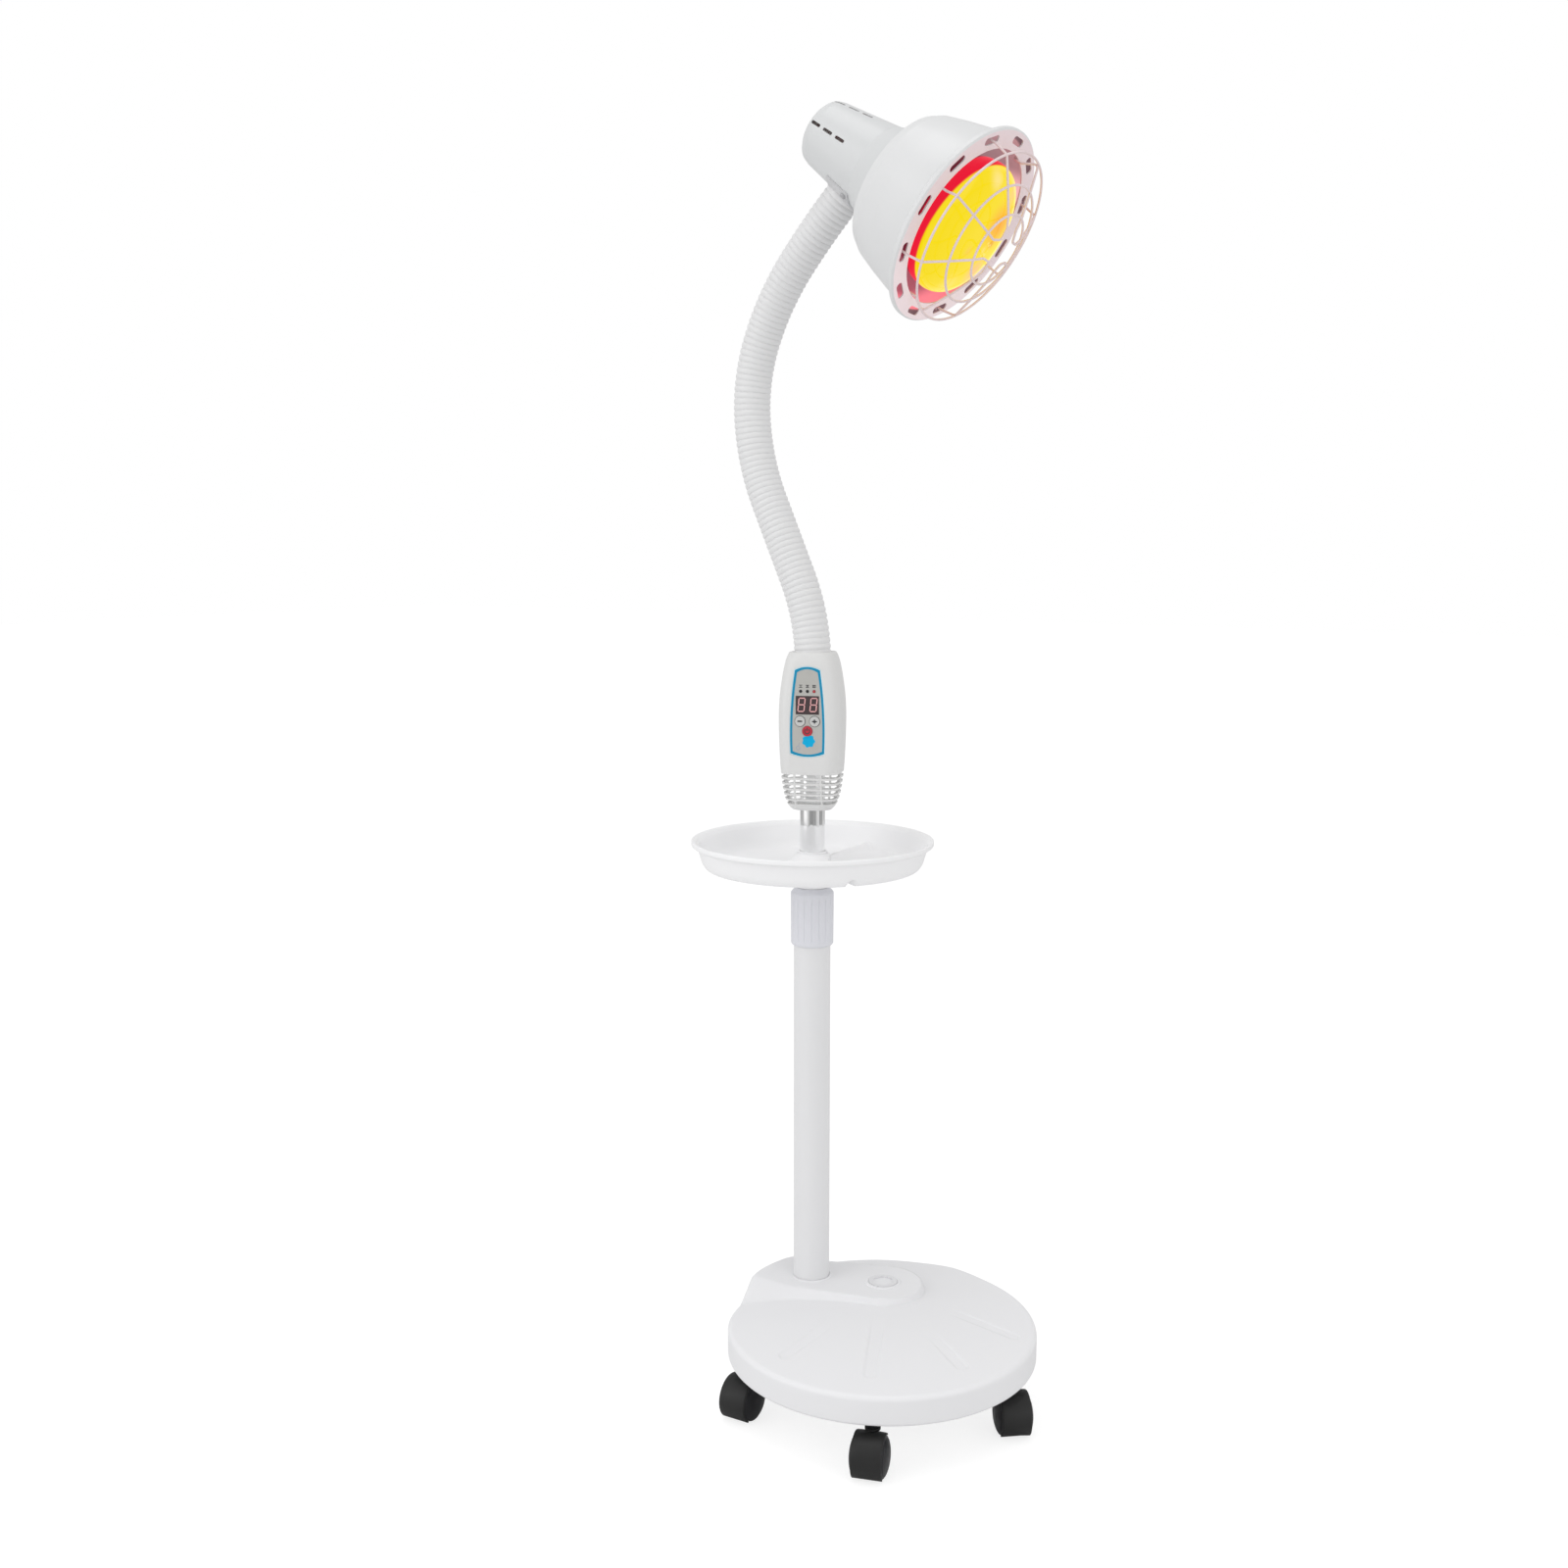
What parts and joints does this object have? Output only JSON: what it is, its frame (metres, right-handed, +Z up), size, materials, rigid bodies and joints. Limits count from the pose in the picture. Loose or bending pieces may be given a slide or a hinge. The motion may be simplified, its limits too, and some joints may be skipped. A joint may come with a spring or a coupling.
{
  "type": "infrared therapy floor lamp",
  "caption": "Floor-standing infrared lamp with a guarded bell head, gooseneck, control box, telescopic mast, round tray and a round caster base.",
  "frame": {"origin": "on the floor, under the mast's axis", "axes": "+Z up along the mast; +X from the mast towards the lamp head, in the gooseneck's plane; +Y to the left of that"},
  "size_m": [0.3831, 0.3084, 1.2323],
  "materials": {
    "base_plastic": "semi-gloss moulded",
    "sand": "loose fill",
    "caster_stem": "black oxide",
    "pole_enamel": "gloss enamel",
    "turned_steel": "turned",
    "collet_plastic": "moulded nylon",
    "collar_plastic": "semi-gloss moulded",
    "tray_plastic": "semi-gloss moulded",
    "chrome_tube": "polished",
    "box_plastic": "satin moulded",
    "label_foil": "printed silver foil",
    "display_window": "dark tinted window",
    "board": "glass-epoxy laminate",
    "led_lens": "clear tinted lens",
    "black_nylon": "moulded nylon",
    "zinc_casting": "die-cast",
    "grey_key": "moulded",
    "red_key": "moulded",
    "lamp_enamel": "gloss enamel",
    "guard_wire": "white coated wire",
    "ruby_glass": "ruby-stained glass",
    "cap_metal": "rolled thread",
    "porcelain": "glazed",
    "plated_steel": "zinc plated",
    "sleeve_plastic": "corrugated sleeve",
    "core_steel": "wound steel strip",
    "caster_nylon": "moulded nylon"
  },
  "bodies": {
    "base": {"base_shell": "base_plastic", "sand_ballast": "sand", "filler_plug": "base_plastic", "caster_stems": "caster_stem", "lower_pole": "pole_enamel", "pole_foot": "turned_steel", "pole_bolt": "turned_steel", "collet": "collet_plastic", "tray_hub": "tray_plastic"},
    "collar": {"twist_collar": "collar_plastic"},
    "tray": {"tray": "tray_plastic"},
    "lift": {"guide_bush": "collet_plastic"},
    "mast": {"inner_tube": "chrome_tube", "control_box_front": "box_plastic", "control_box_rear": "box_plastic", "panel_label": "label_foil", "display": "display_window", "circuit_board": "board", "status_leds": "led_lens", "box_screws": "turned_steel", "cable_gland": "black_nylon", "neck_coupler": "zinc_casting", "neck_sleeve_1": "sleeve_plastic", "neck_core_1": "core_steel"},
    "left_key": {"left_button": "grey_key"},
    "right_key": {"right_button": "grey_key"},
    "power_key": {"power_button": "red_key"},
    "neck_2": {"neck_sleeve_2": "sleeve_plastic", "neck_core_2": "core_steel"},
    "neck_3": {"neck_sleeve_3": "sleeve_plastic", "neck_core_3": "core_steel"},
    "neck_4": {"neck_sleeve_4": "sleeve_plastic", "neck_core_4": "core_steel"},
    "neck_5": {"neck_sleeve_5": "sleeve_plastic", "neck_core_5": "core_steel"},
    "head": {"neck_sleeve_6": "sleeve_plastic", "neck_core_6": "core_steel", "lamp_housing": "lamp_enamel", "bell": "lamp_enamel", "guard": "guard_wire", "bulb": "ruby_glass", "bulb_cap": "cap_metal", "lamp_holder": "porcelain", "neck_bracket": "plated_steel", "bracket_screws": "plated_steel"},
    "caster_1": {"caster_hood_1": "caster_nylon"},
    "wheels_1": {"caster_axle_1": "turned_steel", "caster_wheels_1": "caster_nylon"},
    "caster_2": {"caster_hood_2": "caster_nylon"},
    "wheels_2": {"caster_axle_2": "turned_steel", "caster_wheels_2": "caster_nylon"},
    "caster_3": {"caster_hood_3": "caster_nylon"},
    "wheels_3": {"caster_axle_3": "turned_steel", "caster_wheels_3": "caster_nylon"},
    "caster_4": {"caster_hood_4": "caster_nylon"},
    "wheels_4": {"caster_axle_4": "turned_steel", "caster_wheels_4": "caster_nylon"},
    "caster_5": {"caster_hood_5": "caster_nylon"},
    "wheels_5": {"caster_axle_5": "turned_steel", "caster_wheels_5": "caster_nylon"}
  },
  "joints": [
    {"name": "caster_1_swivel", "type": "hinge", "parent": "base", "child": "caster_1", "pos_m": [0.15967, -0.15345, 0.041], "axis": [0, 0, 1], "continuous": true},
    {"name": "caster_2_swivel", "type": "hinge", "parent": "base", "child": "caster_2", "pos_m": [0.23197, -0.01747, 0.041], "axis": [0, 0, 1], "continuous": true},
    {"name": "caster_3_swivel", "type": "hinge", "parent": "base", "child": "caster_3", "pos_m": [0.12499, 0.0933, 0.041], "axis": [0, 0, 1], "continuous": true},
    {"name": "caster_4_swivel", "type": "hinge", "parent": "base", "child": "caster_4", "pos_m": [-0.01342, 0.02579, 0.041], "axis": [0, 0, 1], "continuous": true},
    {"name": "caster_5_swivel", "type": "hinge", "parent": "base", "child": "caster_5", "pos_m": [0.00801, -0.12671, 0.041], "axis": [0, 0, 1], "continuous": true},
    {"name": "caster_1_roll", "type": "hinge", "parent": "caster_1", "child": "wheels_1", "pos_m": [0.16328, -0.16489, 0.019], "axis": [0.9537, 0.3007, 0], "continuous": true},
    {"name": "caster_2_roll", "type": "hinge", "parent": "caster_2", "child": "wheels_2", "pos_m": [0.23944, -0.02686, 0.019], "axis": [0.7826, 0.6225, 0], "continuous": true},
    {"name": "caster_3_roll", "type": "hinge", "parent": "caster_3", "child": "wheels_3", "pos_m": [0.13099, 0.08291, 0.019], "axis": [0.866, 0.5, 0], "continuous": true},
    {"name": "caster_4_roll", "type": "hinge", "parent": "caster_4", "child": "wheels_4", "pos_m": [-0.01447, 0.01384, 0.019], "axis": [0.9962, -0.0872, 0], "continuous": true},
    {"name": "caster_5_roll", "type": "hinge", "parent": "caster_5", "child": "wheels_5", "pos_m": [0.00833, -0.1387, 0.019], "axis": [0.9997, 0.0262, 0], "continuous": true},
    {"name": "collar_twist", "type": "hinge", "parent": "base", "child": "collar", "pos_m": [0, 0, 0.46], "axis": [0, 0, 1], "range_deg": [-5, 90]},
    {"name": "tray_swivel", "type": "hinge", "parent": "base", "child": "tray", "pos_m": [0, 0, 0.52], "axis": [0, 0, 1], "continuous": true},
    {"name": "mast_lift", "type": "slide", "parent": "base", "child": "lift", "axis": [0, 0, 1], "range_m": [0, 0.3]},
    {"name": "mast_swivel", "type": "hinge", "parent": "lift", "child": "mast", "pos_m": [0, 0, 0.4], "axis": [0, 0, 1], "continuous": true},
    {"name": "neck_bend_1", "type": "hinge", "parent": "mast", "child": "neck_2", "pos_m": [-0.01795, 0, 0.79825], "axis": [0, 1, 0], "range_deg": [-15, 15]},
    {"name": "neck_bend_2", "type": "hinge", "parent": "neck_2", "child": "neck_3", "pos_m": [-0.05001, 0, 0.87024], "axis": [0, 1, 0], "range_deg": [-15, 15]},
    {"name": "neck_sideways", "type": "hinge", "parent": "neck_3", "child": "neck_4", "pos_m": [-0.06931, 0, 0.94625], "axis": [0.9969, 0, 0.0785], "range_deg": [-15, 15]},
    {"name": "neck_bend_4", "type": "hinge", "parent": "neck_4", "child": "neck_5", "pos_m": [-0.0581, 0, 1.02359], "axis": [0, 1, 0], "range_deg": [-15, 15]},
    {"name": "neck_bend_5", "type": "hinge", "parent": "neck_5", "child": "head", "pos_m": [-0.01886, 0, 1.09155], "axis": [0, 1, 0], "range_deg": [-15, 15]},
    {"name": "left_key_press", "type": "slide", "parent": "mast", "child": "left_key", "axis": [-0.342, 0.9397, 0], "range_m": [0, 0.0006], "stiffness_N_per_m": 600, "springref_m": -0.0004},
    {"name": "right_key_press", "type": "slide", "parent": "mast", "child": "right_key", "axis": [-0.342, 0.9397, 0], "range_m": [0, 0.0006], "stiffness_N_per_m": 600, "springref_m": -0.0004},
    {"name": "power_key_press", "type": "slide", "parent": "mast", "child": "power_key", "axis": [-0.342, 0.9397, 0], "range_m": [0, 0.0006], "stiffness_N_per_m": 600, "springref_m": -0.0004}
  ],
  "couplings": [
    {"joint": "neck_bend_2", "follows": "neck_bend_1", "ratio": 1},
    {"joint": "neck_bend_5", "follows": "neck_bend_4", "ratio": 1}
  ]
}
